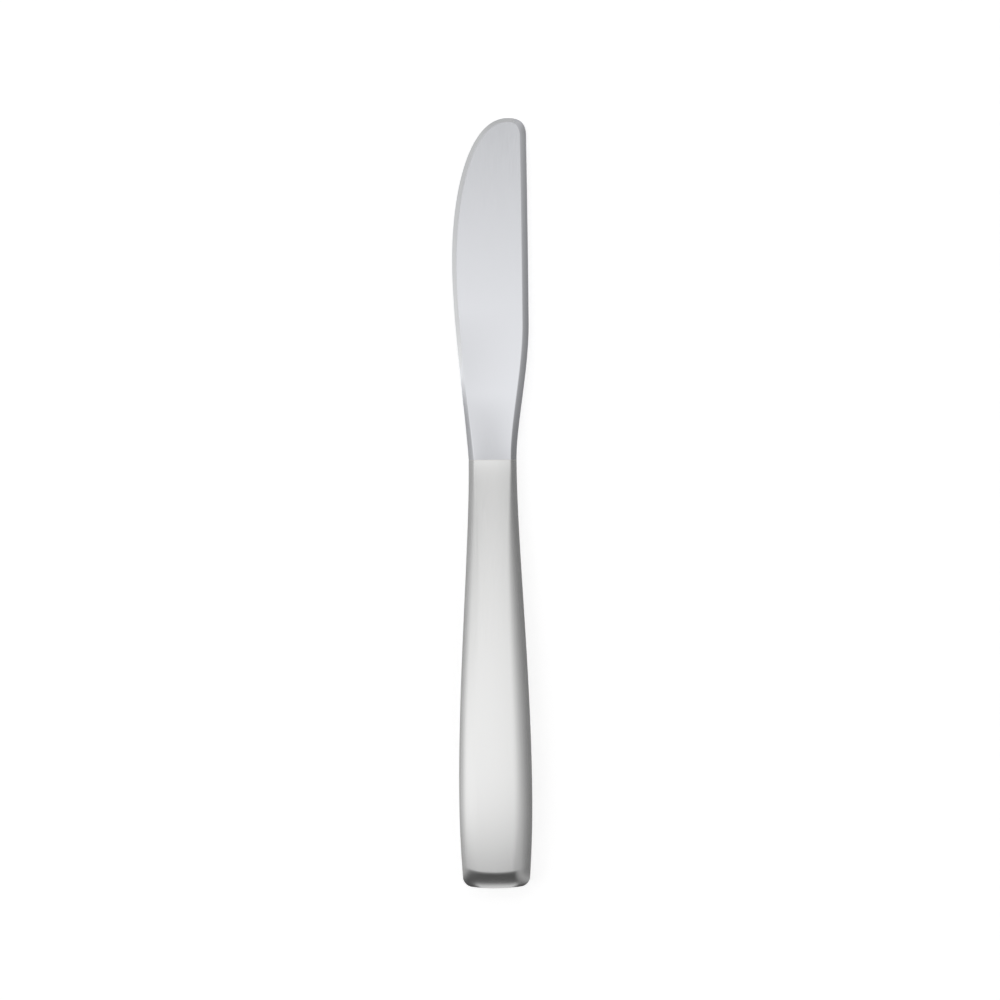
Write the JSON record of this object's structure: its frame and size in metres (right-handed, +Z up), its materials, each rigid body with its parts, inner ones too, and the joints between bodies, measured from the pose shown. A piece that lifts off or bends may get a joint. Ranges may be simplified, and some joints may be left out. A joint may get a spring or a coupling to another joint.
{
  "type": "dinner knife",
  "caption": "Table knife with a flat-ground, round-nosed steel blade and a hollow satin steel handle that swells from a slim neck.",
  "frame": {"origin": "on the table, under the middle of the knife's box as it lies on its side", "axes": "+Y from the handle towards the tip, +X from the cutting edge towards the spine, +Z up from the table"},
  "size_m": [0.0232, 0.235, 0.0091],
  "materials": {
    "polished_steel": "polished",
    "satin_steel": "satin",
    "braze": "satin",
    "cement": "matte"
  },
  "bodies": {
    "root": {"blade": "polished_steel", "upper_handle_shell": "satin_steel", "lower_handle_shell": "satin_steel", "seam_braze": "braze", "neck_braze": "braze", "handle_cement": "cement"}
  },
  "joints": []
}
